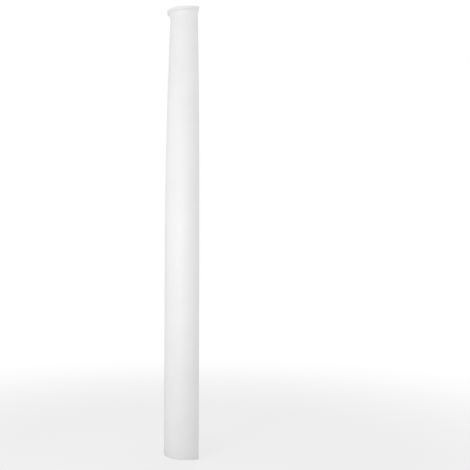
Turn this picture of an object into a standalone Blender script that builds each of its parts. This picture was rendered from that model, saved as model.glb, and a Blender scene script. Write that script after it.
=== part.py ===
"""Half column shaft: a turned shaft with a coved collar at its head, cut in half along its axis.

Metres, +Z up. The shaft stands on its foot at z = 0 with its round front towards -Y, and its flat back
lies on the wall at y = +WALL_Y. The origin is the middle of the whole shaft's box, at the foot.
"""

import math

import bmesh
import bpy
from mathutils import Matrix

# Driving dimensions
HEIGHT = 2.020
FOOT_RADIUS = 0.110
NECK_RADIUS = 0.088
ENTASIS_START = 0.900
COLLAR_RADIUS = 0.102
COLLAR_HEIGHT = 0.013
COLLAR_UPPER_ROUND = 0.0015
COLLAR_LOWER_ROUND = 0.0025
COLLAR_LIP = 0.0045
COVE_HEIGHT = 0.031
COVE_SWEEP = math.radians(84)

# Fineness of the round forms
STEPS_ROUND = 96
ENTASIS_STEPS = 16
COVE_STEPS = 8
EDGE_STEPS = 3

# Places worked out from the driving dimensions
WALL_Y = FOOT_RADIUS / 2
COLLAR_UNDERSIDE = HEIGHT - COLLAR_HEIGHT
NECK_TOP = COLLAR_UNDERSIDE - COVE_HEIGHT
MERGE_DISTANCE = 0.00001
CUTTER_MARGIN = 0.100

# The primed finish
PRIMER_WHITE = (0.86, 0.86, 0.855, 1.0)
PRIMER_ROUGHNESS = 0.55


def clear_scene():
    for old in list(bpy.data.objects):
        bpy.data.objects.remove(old, do_unlink=True)


def new_collection(name):
    collection = bpy.data.collections.new(name)
    bpy.context.scene.collection.children.link(collection)
    return collection


def primed_material():
    material = bpy.data.materials.new("primed_polyurethane")
    material.use_nodes = True
    shader = material.node_tree.nodes["Principled BSDF"]
    shader.inputs["Base Color"].default_value = PRIMER_WHITE
    shader.inputs["Roughness"].default_value = PRIMER_ROUGHNESS
    shader.inputs["Metallic"].default_value = 0.0
    return material


def collar_edges():
    """The collar's outer side: the rounds on its top and lower edges, with the upright face between them."""
    upper = (COLLAR_UPPER_ROUND, HEIGHT - COLLAR_UPPER_ROUND, 0)
    lower = (COLLAR_LOWER_ROUND, COLLAR_UNDERSIDE + COLLAR_LOWER_ROUND, 90)
    points = []
    for size, centre_height, first in (upper, lower):
        for step in range(EDGE_STEPS + 1):
            turn = math.radians(first + 90 * step / EDGE_STEPS)
            radius = COLLAR_RADIUS - size + size * math.sin(turn)
            points.append((radius, centre_height + size * math.cos(turn)))
    return points


def cove():
    """The hollow curve below the collar: part of an ellipse that ends upright where it meets the neck."""
    projection = COLLAR_RADIUS - COLLAR_LIP - NECK_RADIUS
    half_width = projection / (1 - math.cos(COVE_SWEEP))
    half_height = COVE_HEIGHT / math.sin(COVE_SWEEP)
    points = []
    for step in range(COVE_STEPS, 0, -1):
        turn = COVE_SWEEP * step / COVE_STEPS
        radius = NECK_RADIUS + half_width * (1 - math.cos(turn))
        height = NECK_TOP + half_height * math.sin(turn)
        points.append((radius, height))
    return points


def entasis():
    """The swelling from the neck down to the plain lower part: equal steps in height, equal turns of an arc."""
    whole_turn = math.acos(NECK_RADIUS / FOOT_RADIUS)
    rise = NECK_TOP - ENTASIS_START
    points = []
    for step in range(ENTASIS_STEPS, -1, -1):
        part = step / ENTASIS_STEPS
        points.append((FOOT_RADIUS * math.cos(whole_turn * part), ENTASIS_START + rise * part))
    return points


def shaft_profile():
    """(radius, height) from the middle of the top, down the outer side, to the middle of the foot."""
    top = [(0.0, HEIGHT)]
    foot = [(FOOT_RADIUS, 0.0), (0.0, 0.0)]
    return top + collar_edges() + cove() + entasis() + foot


def turned_shaft(collection, material):
    """The whole round shaft: its profile turned about an upright axis in the wall's plane."""
    mesh = bpy.data.meshes.new("half_column_shaft")
    shape = bmesh.new()
    points = [shape.verts.new((radius, 0.0, height)) for radius, height in shaft_profile()]
    for upper, lower in zip(points, points[1:]):
        shape.edges.new((upper, lower))
    shape.to_mesh(mesh)
    shape.free()
    shaft = bpy.data.objects.new("half_column_shaft", mesh)
    shaft.location = (0.0, WALL_Y, 0.0)
    mesh.materials.append(material)
    collection.objects.link(shaft)
    turn = shaft.modifiers.new("turn", "SCREW")
    turn.axis = "Z"
    turn.angle = math.radians(360)
    turn.steps = STEPS_ROUND
    turn.render_steps = STEPS_ROUND
    turn.use_merge_vertices = True
    turn.merge_threshold = MERGE_DISTANCE
    turn.use_smooth_shade = True
    return shaft


def wall_cutter(collection):
    """A block on the wall's side of the axis, which takes away the back half of the round shaft."""
    width = 2 * (FOOT_RADIUS + CUTTER_MARGIN)
    depth = FOOT_RADIUS + CUTTER_MARGIN
    tall = HEIGHT + 2 * CUTTER_MARGIN
    mesh = bpy.data.meshes.new("wall_cutter")
    shape = bmesh.new()
    bmesh.ops.create_cube(shape, size=1.0, matrix=Matrix.Diagonal((width, depth, tall, 1.0)))
    shape.to_mesh(mesh)
    shape.free()
    cutter = bpy.data.objects.new("wall_cutter", mesh)
    cutter.location = (0.0, WALL_Y + depth / 2, HEIGHT / 2)
    cutter.hide_render = True
    cutter.display_type = "WIRE"
    collection.objects.link(cutter)
    return cutter


def main():
    clear_scene()
    parts = new_collection("half_column")
    cutters = new_collection("cutters")
    shaft = turned_shaft(parts, primed_material())
    cut = shaft.modifiers.new("flat_back", "BOOLEAN")
    cut.operation = "DIFFERENCE"
    cut.solver = "EXACT"
    cut.object = wall_cutter(cutters)


main()
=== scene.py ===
"""Studio view of a half column shaft: one moulded, white-primed casting with entasis and a coved collar.

Metres, +Z up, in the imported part's own frame: the round front faces -Y, and the flat back lies in the wall's
plane on the +Y side. The shaft's finished mesh is modelled here round the frame's sizes and stands for the
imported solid. The floor, the lights and the camera follow.
"""

from __future__ import annotations

import logging
import math
from dataclasses import dataclass, field
from enum import Enum
from typing import Any

import bmesh
import bpy
from mathutils import Matrix, Vector


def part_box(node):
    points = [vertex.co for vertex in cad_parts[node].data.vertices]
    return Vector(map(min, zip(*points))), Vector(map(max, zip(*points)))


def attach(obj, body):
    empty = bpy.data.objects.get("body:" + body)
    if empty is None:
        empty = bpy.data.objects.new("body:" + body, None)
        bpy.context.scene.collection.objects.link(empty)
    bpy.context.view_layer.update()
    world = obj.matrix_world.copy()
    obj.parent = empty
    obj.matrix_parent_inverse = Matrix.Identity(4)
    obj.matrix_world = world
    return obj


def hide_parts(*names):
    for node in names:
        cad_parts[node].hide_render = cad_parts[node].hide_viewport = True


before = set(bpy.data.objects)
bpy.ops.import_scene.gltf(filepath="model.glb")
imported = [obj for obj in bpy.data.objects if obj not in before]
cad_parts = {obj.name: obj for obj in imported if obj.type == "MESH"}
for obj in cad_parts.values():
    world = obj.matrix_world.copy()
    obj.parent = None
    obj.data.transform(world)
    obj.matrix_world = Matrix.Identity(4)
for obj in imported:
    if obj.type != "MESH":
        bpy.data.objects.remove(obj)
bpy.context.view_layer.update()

LOG = logging.getLogger("half_column")
CAD_NODE = "half_column_shaft"
BODY = "root"
MM = 0.001
TOUCH = 0.01 * MM
CUT_TOLERANCE = 0.001 * MM
SAME_WAY = 0.999
NOISE_MIDDLE = 0.5
Colour = tuple[float, float, float, float]
WHITE: Colour = (1.0, 1.0, 1.0, 1.0)


class CutFace(Enum):
    """The three flat faces that the casting is trimmed to, each named with its outward direction."""

    BACK = (0.0, 1.0, 0.0)
    HEAD = (0.0, 0.0, 1.0)
    FOOT = (0.0, 0.0, -1.0)


class Bend(Enum):
    """The small rounds in the profile, going up the outer side."""

    FOOT_ARRIS = "from the foot's underside to the upright shaft"
    LIP_CORNER = "from the cove into the lip below the collar"
    COLLAR_LOWER = "from the lip to the collar's upright face"
    COLLAR_UPPER = "from the collar's upright face to the flat head"


class Sock:
    """A shader socket that adds Math nodes when it is used in an expression."""

    def __init__(self, bench: Bench, socket: bpy.types.NodeSocket) -> None:
        """Keeps the socket and the bench that makes its nodes.

        Args:
            bench: the bench of the material that the socket is in.
            socket: the output socket to wrap.
        """
        self.bench = bench
        self.socket = socket

    def _math(self, operation: str, *values: Sock | float) -> Sock:
        """One Math node.

        Args:
            operation: the Math node's operation.
            values: its operands, in order.

        Returns:
            The node's result.
        """
        inputs = dict(enumerate(values))
        return self.bench.node("ShaderNodeMath", {"operation": operation}, inputs)

    def __add__(self, other: Sock | float) -> Sock:
        """Sum."""
        return self._math("ADD", self, other)

    def __radd__(self, other: float) -> Sock:
        """Sum with a number on the left."""
        return self._math("ADD", other, self)

    def __sub__(self, other: Sock | float) -> Sock:
        """Difference."""
        return self._math("SUBTRACT", self, other)

    def __rsub__(self, other: float) -> Sock:
        """Difference from a number."""
        return self._math("SUBTRACT", other, self)

    def __mul__(self, other: Sock | float) -> Sock:
        """Product."""
        return self._math("MULTIPLY", self, other)

    def __rmul__(self, other: float) -> Sock:
        """Product with a number on the left."""
        return self._math("MULTIPLY", other, self)

    def __truediv__(self, other: Sock | float) -> Sock:
        """Quotient."""
        return self._math("DIVIDE", self, other)

    def __rtruediv__(self, other: float) -> Sock:
        """Quotient of a number."""
        return self._math("DIVIDE", other, self)

    def size(self) -> Sock:
        """Value without its sign."""
        return self._math("ABSOLUTE", self)

    def cosine(self) -> Sock:
        """Cosine of the value in radians."""
        return self._math("COSINE", self)

    def least(self, other: Sock | float) -> Sock:
        """The smaller of two values."""
        return self._math("MINIMUM", self, other)

    def most(self, other: Sock | float) -> Sock:
        """The larger of two values."""
        return self._math("MAXIMUM", self, other)

    def between(self, low: float, high: float) -> Sock:
        """A soft step.

        Args:
            low: the value that gives 0.
            high: the value that gives 1; it may be the smaller of the two.

        Returns:
            0 to 1, eased at both ends.
        """
        if high < low:
            return 1 - self.between(high, low)
        settings = {"interpolation_type": "SMOOTHSTEP"}
        inputs = {"Value": self, "From Min": low, "From Max": high}
        return self.bench.node("ShaderNodeMapRange", settings, inputs)


@dataclass(frozen=True)
class Pattern:
    """One noise: its cells per metre, its finer layers, and what its coordinates are multiplied by."""

    scale: float
    detail: float
    stretch: tuple[float, float, float] = (1.0, 1.0, 1.0)


@dataclass(frozen=True)
class Step:
    """A soft step: the value that gives 0 and the value that gives 1, which may be the smaller of the two."""

    low: float
    high: float

    def of(self, value: Sock) -> Sock:
        """The step of a value."""
        return value.between(self.low, self.high)


class Bench:
    """Makes the nodes of one material or world."""

    def __init__(self, tree: bpy.types.NodeTree) -> None:
        """Empties the tree.

        Args:
            tree: the node tree to fill.
        """
        self.tree = tree
        tree.nodes.clear()

    def node(
        self,
        kind: str,
        settings: dict[str, Any] | None = None,
        inputs: dict[str | int, Any] | None = None,
        output: str | int = 0,
    ) -> Sock:
        """Adds one node.

        Args:
            kind: the node's type.
            settings: properties set before the sockets are.
            inputs: a value or a Sock for each input named or numbered.
            output: the output to return.

        Returns:
            The chosen output, or the first input of a node that has none.
        """
        made = self.tree.nodes.new(kind)
        for name, value in (settings or {}).items():
            setattr(made, name, value)
        for key, value in (inputs or {}).items():
            if isinstance(value, Sock):
                self.tree.links.new(value.socket, made.inputs[key])
            else:
                made.inputs[key].default_value = value
        return Sock(self, made.outputs[output] if made.outputs else made.inputs[0])

    def noise(self, point: Sock, pattern: Pattern) -> Sock:
        """A smooth noise of about 0 to 1.

        Args:
            point: the coordinates it is read at.
            pattern: its fineness and its stretch.

        Returns:
            The noise's value.
        """
        if pattern.stretch != Pattern.stretch:
            stretched = {0: point, 1: pattern.stretch}
            point = self.node("ShaderNodeVectorMath", {"operation": "MULTIPLY"}, stretched)
        inputs = {"Vector": point, "Scale": pattern.scale, "Detail": pattern.detail}
        return self.node("ShaderNodeTexNoise", {"normalize": True}, inputs, "Fac")

    def blend(self, share: Sock, first: Sock | Colour, second: Sock | Colour) -> Sock:
        """Two colours mixed.

        Args:
            share: 0 gives the first colour and 1 the second.
            first: a colour or a Sock.
            second: a colour or a Sock.

        Returns:
            The mixed colour.
        """
        return self.node("ShaderNodeMix", {"data_type": "RGBA"}, {0: share, 6: first, 7: second}, 2)

    def bump(self, height: Sock) -> Sock:
        """A bump of the surface.

        Args:
            height: the surface's real height in metres.

        Returns:
            The bent normal.
        """
        return self.node("ShaderNodeBump", None, {"Height": height, "Distance": 1.0, "Strength": 1.0})

    def glow(self, looked_at: Sock, seen: float, lighting: float) -> Sock:
        """The strength of a white that looks brighter than it lights.

        Args:
            looked_at: 1 where the camera sees it.
            seen: its strength there.
            lighting: its strength as a light.

        Returns:
            The strength.
        """
        return looked_at * (seen - lighting) + lighting


@dataclass(frozen=True)
class ProfilePoint:
    """One point of the shaft's outer side: its distance from the axis and its height."""

    radius: float
    height: float


@dataclass(frozen=True)
class Arc:
    """One small round of the profile: its centre, its radius, and its first and last angle in degrees."""

    centre: ProfilePoint
    radius: float
    first: float
    last: float

    def points(self, rows: int) -> list[ProfilePoint]:
        """Points along the round.

        Args:
            rows: how many steps it is drawn in.

        Returns:
            Its points, going up the outer side.
        """
        turns = [math.radians(self.first + (self.last - self.first) * row / rows) for row in range(rows + 1)]
        return [
            ProfilePoint(
                self.centre.radius + self.radius * math.cos(turn),
                self.centre.height + self.radius * math.sin(turn),
            )
            for turn in turns
        ]


@dataclass(frozen=True)
class Form:
    """The sizes that the shaft's form follows: metres, radians, and degrees for the lip round's start."""

    height: float
    foot_radius: float
    wall_y: float
    neck_radius: float = 88.0 * MM
    entasis_start: float = 900.0 * MM
    collar_radius: float = 102.0 * MM
    collar_height: float = 13.0 * MM
    collar_lip: float = 4.5 * MM
    cove_height: float = 31.0 * MM
    cove_sweep: float = math.radians(84)
    foot_round: float = 0.9 * MM
    collar_upper_round: float = 1.5 * MM
    collar_lower_round: float = 2.5 * MM
    lip_round: float = 0.6 * MM
    lip_round_shift: float = 0.072 * MM
    lip_round_start: float = 104.0

    @classmethod
    def from_node(cls, node: str) -> Form:
        """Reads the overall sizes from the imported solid.

        Args:
            node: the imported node's name.

        Returns:
            The form, with its height, foot radius and wall plane as in the frame.
        """
        low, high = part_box(node)
        return cls(height=high.z, foot_radius=(high.x - low.x) / 2, wall_y=high.y)

    @property
    def axis(self) -> Vector:
        """The foot of the turning axis, in the wall's plane."""
        return Vector((0.0, self.wall_y, 0.0))

    @property
    def collar_underside(self) -> float:
        """The height of the collar's lower edge."""
        return self.height - self.collar_height

    @property
    def neck_top(self) -> float:
        """The height where the cove meets the shaft."""
        return self.collar_underside - self.cove_height

    @property
    def whole_turn(self) -> float:
        """The turn of the arc that the entasis follows from its start to the neck."""
        return math.acos(self.neck_radius / self.foot_radius)

    def shaft_radius(self, height: float) -> float:
        """The shaft's radius below the cove.

        Args:
            height: height above the foot.

        Returns:
            The radius there.
        """
        part = max(0.0, (height - self.entasis_start) / (self.neck_top - self.entasis_start))
        return self.foot_radius * math.cos(self.whole_turn * part)


@dataclass
class MouldedShaft:
    """The casting: one solid of revolution, halved along its axis, with softened edges."""

    form: Form
    name: str = "moulded_half_shaft"
    steps_round: int = 256
    row_pitch: float = 30.0 * MM
    cove_rows: int = 20
    edge_rows: int = 4
    arris_round: float = 0.5 * MM
    arris_segments: int = 3
    obj: bpy.types.Object = field(init=False, repr=False)

    def small_round(self, bend: Bend) -> list[ProfilePoint]:
        """The points of one small round.

        Args:
            bend: which edge it softens.

        Returns:
            Its points, going up the outer side.
        """
        form = self.form
        foot, lip = form.foot_round, form.lip_round
        lower, upper = form.collar_lower_round, form.collar_upper_round
        lip_radius = form.collar_radius - form.collar_lip + form.lip_round_shift
        centre, radius, first, last = {
            Bend.FOOT_ARRIS: ((form.foot_radius - foot, foot), foot, -90.0, 0.0),
            Bend.LIP_CORNER: ((lip_radius, form.collar_underside - lip), lip, form.lip_round_start, 90.0),
            Bend.COLLAR_LOWER: (
                (form.collar_radius - lower, form.collar_underside + lower), lower, -90.0, 0.0,
            ),
            Bend.COLLAR_UPPER: ((form.collar_radius - upper, form.height - upper), upper, 0.0, 90.0),
        }[bend]
        return Arc(ProfilePoint(*centre), radius, first, last).points(self.edge_rows)

    def cove(self) -> list[ProfilePoint]:
        """The hollow curve below the collar.

        Returns:
            Its points, from just above the neck to just below the lip.
        """
        form = self.form
        projection = form.collar_radius - form.collar_lip - form.neck_radius
        half_width = projection / (1 - math.cos(form.cove_sweep))
        half_height = form.cove_height / math.sin(form.cove_sweep)
        points = []
        for row in range(1, self.cove_rows):
            turn = form.cove_sweep * row / self.cove_rows
            radius = form.neck_radius + half_width * (1 - math.cos(turn))
            points.append(ProfilePoint(radius, form.neck_top + half_height * math.sin(turn)))
        return points

    def shaft_rows(self) -> list[ProfilePoint]:
        """Even rows up the shaft.

        Returns:
            Their points, from just above the foot's round to the neck.
        """
        form = self.form
        low = form.foot_round
        rows = round((form.neck_top - low) / self.row_pitch)
        heights = [low + (form.neck_top - low) * row / rows for row in range(1, rows + 1)]
        return [ProfilePoint(form.shaft_radius(height), height) for height in heights]

    def profile(self) -> list[ProfilePoint]:
        """The whole outer side.

        Returns:
            Its points, from the foot's underside to the flat head.
        """
        return [
            *self.small_round(Bend.FOOT_ARRIS),
            *self.shaft_rows(),
            *self.cove(),
            *self.small_round(Bend.LIP_CORNER),
            *self.small_round(Bend.COLLAR_LOWER),
            *self.small_round(Bend.COLLAR_UPPER),
        ]

    def build(self) -> None:
        """Draws the round shaft up from a disc, halves it, closes its back and softens its edges."""
        points = self.profile()
        bpy.ops.object.select_all(action="DESELECT")
        bpy.ops.mesh.primitive_circle_add(
            vertices=self.steps_round, radius=points[0].radius, fill_type="NGON", location=self.form.axis
        )
        self.obj = bpy.context.active_object
        self.obj.name = self.name
        self.obj.data.name = self.name
        bpy.ops.object.transform_apply(location=True, rotation=True, scale=True)
        bpy.ops.object.mode_set(mode="EDIT")
        bpy.ops.mesh.select_all(action="SELECT")
        for lower, upper in zip(points, points[1:]):
            self.draw_up(lower, upper)
        self.halve()
        self.close_back()
        self.soften_arris()
        bpy.ops.mesh.select_all(action="SELECT")
        bpy.ops.mesh.normals_make_consistent(inside=False)
        self.select_rims()
        bpy.ops.object.mode_set(mode="OBJECT")
        bpy.ops.object.shade_smooth()
        self.mark_rims_sharp()

    def draw_up(self, lower: ProfilePoint, upper: ProfilePoint) -> None:
        """Extrudes the selected disc to the next row and sets it to that row's radius.

        Args:
            lower: the row that the disc is at.
            upper: the row that it goes to.
        """
        rise = upper.height - lower.height
        bpy.ops.mesh.extrude_region_move(TRANSFORM_OT_translate={"value": (0.0, 0.0, rise)})
        ratio = upper.radius / lower.radius
        centre = (0.0, self.form.wall_y, upper.height)
        bpy.ops.transform.resize(value=(ratio, ratio, 1.0), center_override=centre)

    def halve(self) -> None:
        """Cuts the round shaft along the wall's plane and throws the wall's side away."""
        bpy.ops.mesh.select_all(action="SELECT")
        bpy.ops.mesh.bisect(
            plane_co=self.form.axis, plane_no=CutFace.BACK.value, use_fill=False, clear_outer=True,
            threshold=CUT_TOLERANCE,
        )

    def close_back(self) -> None:
        """Fills the open rim in the wall's plane with one flat face."""
        shape = bmesh.from_edit_mesh(self.obj.data)
        bpy.ops.mesh.select_all(action="DESELECT")
        for edge in shape.edges:
            edge.select = edge.is_boundary
        bmesh.update_edit_mesh(self.obj.data)
        bpy.ops.mesh.edge_face_add()

    def soften_arris(self) -> None:
        """Rounds the long edges where the back meets the round face, the head and the foot."""
        shape = bmesh.from_edit_mesh(self.obj.data)
        shape.normal_update()
        bpy.ops.mesh.select_all(action="DESELECT")
        wall = self.form.wall_y
        for edge in shape.edges:
            on_wall = [all(abs(vert.co.y - wall) < TOUCH for vert in face.verts) for face in edge.link_faces]
            edge.select = len(on_wall) == 2 and on_wall[0] != on_wall[1]
        bmesh.update_edit_mesh(self.obj.data)
        bpy.ops.mesh.bevel(
            offset_type="OFFSET", offset=self.arris_round, segments=self.arris_segments, affect="EDGES",
            loop_slide=False,
        )

    def flat_side(self, face: bmesh.types.BMFace) -> CutFace | None:
        """Tells which cut face, if any, a mesh face is part of.

        Args:
            face: a face of the casting.

        Returns:
            The cut face, or None on the round side and on the softened edges.
        """
        places = {CutFace.BACK: self.form.wall_y, CutFace.HEAD: self.form.height, CutFace.FOOT: 0.0}
        for side, place in places.items():
            outward = Vector(side.value)
            reach = [vert.co.dot(outward) for vert in face.verts]
            if face.normal.dot(outward) > SAME_WAY and max(abs(value - place) for value in reach) < TOUCH:
                return side
        return None

    def select_rims(self) -> None:
        """Selects the rims of the three cut faces."""
        shape = bmesh.from_edit_mesh(self.obj.data)
        shape.normal_update()
        bpy.ops.mesh.select_all(action="DESELECT")
        for edge in shape.edges:
            sides = [self.flat_side(face) for face in edge.link_faces]
            edge.select = len(sides) == 2 and sides[0] != sides[1]
        bmesh.update_edit_mesh(self.obj.data)

    def mark_rims_sharp(self) -> None:
        """Marks the selected rims sharp, so that the cut faces shade flat."""
        bpy.ops.object.mode_set(mode="EDIT")
        bpy.ops.mesh.mark_sharp()
        bpy.ops.object.mode_set(mode="OBJECT")

    def dress(self, finish: PrimedFoam) -> None:
        """Gives the casting its finish and ties it to the frame.

        Args:
            finish: the primed finish.
        """
        self.obj.data.materials.clear()
        self.obj.data.materials.append(finish.material())
        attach(self.obj, BODY)
        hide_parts(CAD_NODE)


@dataclass(frozen=True)
class Place:
    """The parts of a point's Object coordinates that the finish is laid out by."""

    point: Sock
    across: Sock
    front: Sock
    above_foot: Sock
    below_head: Sock


@dataclass(frozen=True)
class PrimedFoam:
    """White primer over hard moulded foam, with the bare foam showing on the back and painted shade in a band
    under the collar.
    """

    form: Form
    primer: Colour = (0.866, 0.866, 0.866, 1.0)
    primer_thin: Colour = (0.848, 0.848, 0.847, 1.0)
    # Painted shade: the darker tone laid in the band under the collar, where the collar's shade falls.
    painted_corner_shade: Colour = (0.822, 0.822, 0.820, 1.0)
    foam: Colour = (0.845, 0.835, 0.805, 1.0)
    foam_cell: Colour = (0.760, 0.742, 0.700, 1.0)
    primer_roughness: float = 0.48
    primer_roughness_range: float = 0.10
    foam_roughness: float = 0.85
    cut_face: Step = Step(0.4 * MM, 0.1 * MM)
    spray: Step = Step(26.0 * MM, 0.0)
    spray_waver: float = 36.0 * MM
    spray_drops: float = 0.9
    spray_cover: Step = Step(0.35, 0.55)
    # Where the painted shade under the collar is darkest, and how far it fades above and below.
    painted_shade_below_collar: float = 3.0 * MM
    painted_shade_fade: Step = Step(8.0 * MM, 0.0)
    cloud_share: float = 0.8
    thinning: Step = Step(0.36, 0.64)
    open_cell: Step = Step(0.52, 0.70)
    peel_height: float = 0.45 * MM
    grain_height: float = 0.015 * MM
    cell_depth: float = 0.20 * MM
    mark_height: float = 0.30 * MM
    waver: Pattern = Pattern(9.0, 4.0)
    drops: Pattern = Pattern(1100.0, 1.0)
    clouds: Pattern = Pattern(7.0, 3.0)
    runs: Pattern = Pattern(70.0, 3.0, (1.0, 1.0, 0.08))
    gloss: Pattern = Pattern(30.0, 3.0)
    cells: Pattern = Pattern(900.0, 2.0)
    peel: Pattern = Pattern(300.0, 1.0)
    grain: Pattern = Pattern(2400.0, 1.0)
    saw_marks: Pattern = Pattern(300.0, 1.0, (0.02, 1.0, 1.0))

    def place(self, bench: Bench) -> Place:
        """Takes the Object coordinates apart.

        Args:
            bench: the material's bench.

        Returns:
            The point, its distance across from the middle, its distance in front of the wall's plane, and its
            heights above the foot and below the head.
        """
        point = bench.node("ShaderNodeTexCoord", None, None, "Object")
        split = {axis: bench.node("ShaderNodeSeparateXYZ", None, {0: point}, axis) for axis in "XYZ"}
        front = self.form.wall_y - split["Y"]
        return Place(point, split["X"], front, split["Z"], self.form.height - split["Z"])

    def rim_radius(self, height: Sock) -> Sock:
        """The radius of the outer side.

        Args:
            height: height above the foot.

        Returns:
            The entasis up to the neck, widened by the cove and the collar above it.
        """
        form = self.form
        part = ((height - form.entasis_start) / (form.neck_top - form.entasis_start)).most(0.0)
        shaft = (part * form.whole_turn).cosine() * form.foot_radius
        flare = height.between(form.neck_top, form.collar_underside) * (form.collar_radius - form.neck_radius)
        return shaft + flare

    def bare(self, bench: Bench, place: Place) -> Sock:
        """Where the foam shows: on the back, inside a rim of primer that breaks up into single drops.

        Args:
            bench: the material's bench.
            place: where the point lies.

        Returns:
            1 on bare foam and 0 on primer.
        """
        back = self.cut_face.of(place.front)
        side_gap = self.rim_radius(place.above_foot) - place.across.size()
        inset = side_gap.least(place.above_foot).least(place.below_head)
        waver = (bench.noise(place.point, self.waver) - NOISE_MIDDLE) * self.spray_waver
        cover = self.spray.of(inset + waver)
        drops = (bench.noise(place.point, self.drops) - NOISE_MIDDLE) * self.spray_drops
        return back * (1 - self.spray_cover.of(cover + drops))

    def primer_and_painted_shade(self, bench: Bench, place: Place) -> Sock:
        """The primer's colour, thinner in soft clouds and faint runs, with painted shade in a band just under
        the collar.

        Args:
            bench: the material's bench.
            place: where the point lies.

        Returns:
            The colour, with the painted shade under the collar.
        """
        clouds = bench.noise(place.point, self.clouds) * self.cloud_share
        runs = bench.noise(place.point, self.runs) * (1 - self.cloud_share)
        open_side = bench.blend(self.thinning.of(clouds + runs), self.primer, self.primer_thin)
        # Painted shade: darkest a little below the collar's underside, fading out above and below.
        painted_shade_depth = self.form.collar_height + self.painted_shade_below_collar
        painted_shade = self.painted_shade_fade.of((place.below_head - painted_shade_depth).size())
        return bench.blend(painted_shade, open_side, self.painted_corner_shade)

    def relief(self, bench: Bench, place: Place, bare: Sock, cells: Sock) -> Sock:
        """The fine relief: orange peel and grain in the primer, cells in the foam, saw marks where it is cut.

        Args:
            bench: the material's bench.
            place: where the point lies.
            bare: where the foam shows.
            cells: the foam's open cells.

        Returns:
            The bent normal.
        """
        peel = bench.noise(place.point, self.peel) * self.peel_height
        grain = bench.noise(place.point, self.grain) * self.grain_height
        marks = bench.noise(place.point, self.saw_marks) * self.mark_height
        ends = self.cut_face.of(place.above_foot.least(place.below_head))
        coat = (peel + grain) * (1 - bare)
        return bench.bump(coat + marks * bare.most(ends) - cells * bare * self.cell_depth)

    def material(self) -> bpy.types.Material:
        """Builds the finish's nodes.

        Returns:
            The material.
        """
        material = bpy.data.materials.new("primed_foam")
        material.use_nodes = True
        bench = Bench(material.node_tree)
        place = self.place(bench)
        bare = self.bare(bench, place)
        cells = self.open_cell.of(bench.noise(place.point, self.cells))
        primer_with_shade = self.primer_and_painted_shade(bench, place)
        foam = bench.blend(cells, self.foam, self.foam_cell)
        uneven = (bench.noise(place.point, self.gloss) - NOISE_MIDDLE) * self.primer_roughness_range
        roughness = (uneven + self.primer_roughness) * (1 - bare) + bare * self.foam_roughness
        inputs = {
            "Base Color": bench.blend(bare, primer_with_shade, foam),
            "Roughness": roughness,
            "Normal": self.relief(bench, place, bare, cells),
        }
        shader = bench.node("ShaderNodeBsdfPrincipled", None, inputs)
        bench.node("ShaderNodeOutputMaterial", None, {"Surface": shader})
        return material


def standpoint(axis: Vector, bearing: float, distance: float, height: float) -> Vector:
    """A place round the shaft.

    Args:
        axis: the foot of the shaft's axis.
        bearing: degrees from +X round to +Y.
        distance: metres from the axis, on the level.
        height: metres above the floor.

    Returns:
        The place.
    """
    turn = math.radians(bearing)
    return axis + Vector((math.cos(turn) * distance, math.sin(turn) * distance, height))


@dataclass(frozen=True)
class Softbox:
    """One soft light, named by where it stands: its bearing in degrees, sizes in metres, power in watts."""

    name: str
    bearing: float
    distance: float
    height: float
    width: float
    tall: float
    power: float
    aim_height: float

    def place(self, axis: Vector) -> None:
        """Adds the light, turned to the shaft.

        Args:
            axis: the foot of the shaft's axis.
        """
        data = bpy.data.lights.new(self.name, "AREA")
        data.shape = "RECTANGLE"
        data.size = self.width
        data.size_y = self.tall
        data.energy = self.power
        light = bpy.data.objects.new(self.name, data)
        bpy.context.scene.collection.objects.link(light)
        light.location = standpoint(axis, self.bearing, self.distance, self.height)
        aim = axis + Vector((0.0, 0.0, self.aim_height))
        light.rotation_euler = (aim - light.location).to_track_quat("-Z", "Y").to_euler()


@dataclass(frozen=True)
class PaleFloor:
    """The plain floor, which is washed out where it is looked at and grows into the white of the room."""

    radius: float = 14.0
    corners: int = 96
    tone: float = 0.62
    wash: float = 0.70
    plain_within: float = 0.8
    white_beyond: float = 3.0
    seen: float = 1.0
    lighting: float = 0.748

    def build(self) -> bpy.types.Object:
        """Lays the floor.

        Returns:
            The floor.
        """
        bpy.ops.object.select_all(action="DESELECT")
        bpy.ops.mesh.primitive_circle_add(vertices=self.corners, radius=self.radius, fill_type="NGON")
        floor = bpy.context.active_object
        floor.name = "pale_floor"
        floor.data.materials.append(self.material())
        return floor

    def material(self) -> bpy.types.Material:
        """Builds the floor's nodes.

        Returns:
            The material.
        """
        material = bpy.data.materials.new("pale_floor")
        material.use_nodes = True
        bench = Bench(material.node_tree)
        place = bench.node("ShaderNodeTexCoord", None, None, "Object")
        away = bench.node("ShaderNodeVectorMath", {"operation": "LENGTH"}, {0: place}, "Value")
        white = away.between(self.plain_within, self.white_beyond)
        looked_at = bench.node("ShaderNodeLightPath", None, None, "Is Camera Ray")
        strength = bench.glow(looked_at, self.seen, self.lighting)
        plain = bench.node("ShaderNodeBsdfDiffuse", None, {"Color": (self.tone, self.tone, self.tone, 1.0)})
        glow = bench.node("ShaderNodeEmission", None, {"Color": WHITE, "Strength": strength})
        haze = bench.node("ShaderNodeEmission", None, {"Color": WHITE, "Strength": self.seen})
        lit = bench.node("ShaderNodeMixShader", None, {0: white, 1: plain, 2: glow})
        surface = bench.node("ShaderNodeMixShader", None, {0: looked_at * self.wash, 1: lit, 2: haze})
        bench.node("ShaderNodeOutputMaterial", None, {"Surface": surface})
        return material


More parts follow.
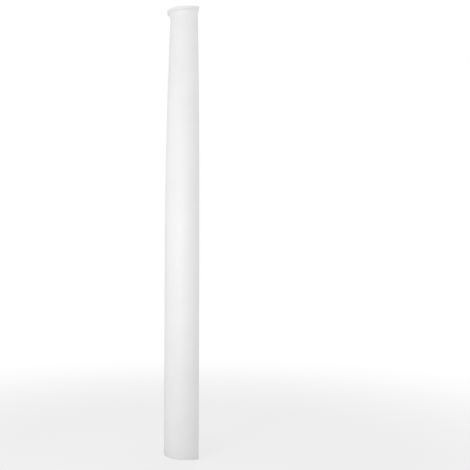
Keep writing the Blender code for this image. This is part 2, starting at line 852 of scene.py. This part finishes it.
@dataclass(frozen=True)
class WhiteRoom:
    """The room's even light: white where it is looked at, and dimmer as a light."""

    seen: float = 1.0
    lighting: float = 0.668

    def build(self) -> None:
        """Makes the world and gives it to the scene."""
        world = bpy.data.worlds.new("white_room")
        world.use_nodes = True
        bench = Bench(world.node_tree)
        looked_at = bench.node("ShaderNodeLightPath", None, None, "Is Camera Ray")
        strength = bench.glow(looked_at, self.seen, self.lighting)
        surface = bench.node("ShaderNodeBackground", None, {"Color": WHITE, "Strength": strength})
        bench.node("ShaderNodeOutputWorld", None, {"Surface": surface})
        bpy.context.scene.world = world


@dataclass(frozen=True)
class StudioCamera:
    """The camera, at the photograph's distance, height and angle to the wall."""

    bearing: float = -25.0
    distance: float = 3.63
    height: float = 1.0
    focal_pixels: float = 792.0
    axis_pixel: float = 188.93
    picture_pixels: float = 470.0
    sensor: float = 36.0
    roll: float = 0.2

    def place(self, axis: Vector) -> None:
        """Adds the camera and makes it the scene's own.

        Args:
            axis: the foot of the shaft's axis.
        """
        data = bpy.data.cameras.new("studio_camera")
        data.sensor_fit = "HORIZONTAL"
        data.sensor_width = self.sensor
        data.lens = self.sensor * self.focal_pixels / self.picture_pixels
        camera = bpy.data.objects.new("studio_camera", data)
        bpy.context.scene.collection.objects.link(camera)
        place = standpoint(axis, self.bearing, self.distance, self.height)
        aside = math.atan2(self.picture_pixels / 2 - self.axis_pixel, self.focal_pixels)
        ahead = Vector((axis.x - place.x, axis.y - place.y, 0.0)).normalized()
        ahead.rotate(Matrix.Rotation(-aside, 3, "Z"))
        face = ahead.to_track_quat("-Z", "Y").to_matrix().to_4x4()
        tilt = Matrix.Rotation(math.radians(self.roll), 4, "Z")
        camera.matrix_world = Matrix.Translation(place) @ face @ tilt
        bpy.context.scene.camera = camera


def softboxes() -> list[Softbox]:
    """The studio's lights.

    Returns:
        The lights, strongest first.
    """
    return [
        Softbox(
            "key_low", bearing=-60.0, distance=2.4, height=0.9,
            width=0.9, tall=0.8, power=14.4, aim_height=0.9,
        ),
        Softbox(
            "overhead_back", bearing=120.0, distance=1.2, height=3.2,
            width=2.4, tall=2.4, power=11.5, aim_height=0.0,
        ),
        Softbox(
            "front", bearing=-90.0, distance=3.0, height=1.5,
            width=2.5, tall=1.8, power=5.4, aim_height=1.1,
        ),
        Softbox(
            "key_high", bearing=-60.0, distance=2.4, height=1.5,
            width=0.9, tall=0.8, power=4.1, aim_height=1.5,
        ),
        Softbox(
            "high_right", bearing=-20.0, distance=1.5, height=3.0,
            width=1.2, tall=1.2, power=1.3, aim_height=1.5,
        ),
    ]


def report(obj: bpy.types.Object) -> None:
    """Logs one piece's size and fineness.

    Args:
        obj: the finished piece.
    """
    triangles = sum(len(face.vertices) - 2 for face in obj.data.polygons)
    size = " x ".join(f"{side / MM:.1f}" for side in obj.dimensions)
    LOG.info("%s: %s mm, %d triangles", obj.name, size, triangles)


def main() -> None:
    """Builds the casting, the floor, the lights and the camera."""
    logging.basicConfig(level=logging.INFO, format="%(name)s: %(message)s")
    bpy.context.scene.view_settings.view_transform = "Standard"
    form = Form.from_node(CAD_NODE)
    casting = MouldedShaft(form)
    casting.build()
    casting.dress(PrimedFoam(form))
    report(casting.obj)
    PaleFloor().build()
    WhiteRoom().build()
    for box in softboxes():
        box.place(form.axis)
    StudioCamera().place(form.axis)


if __name__ == "__main__":
    main()
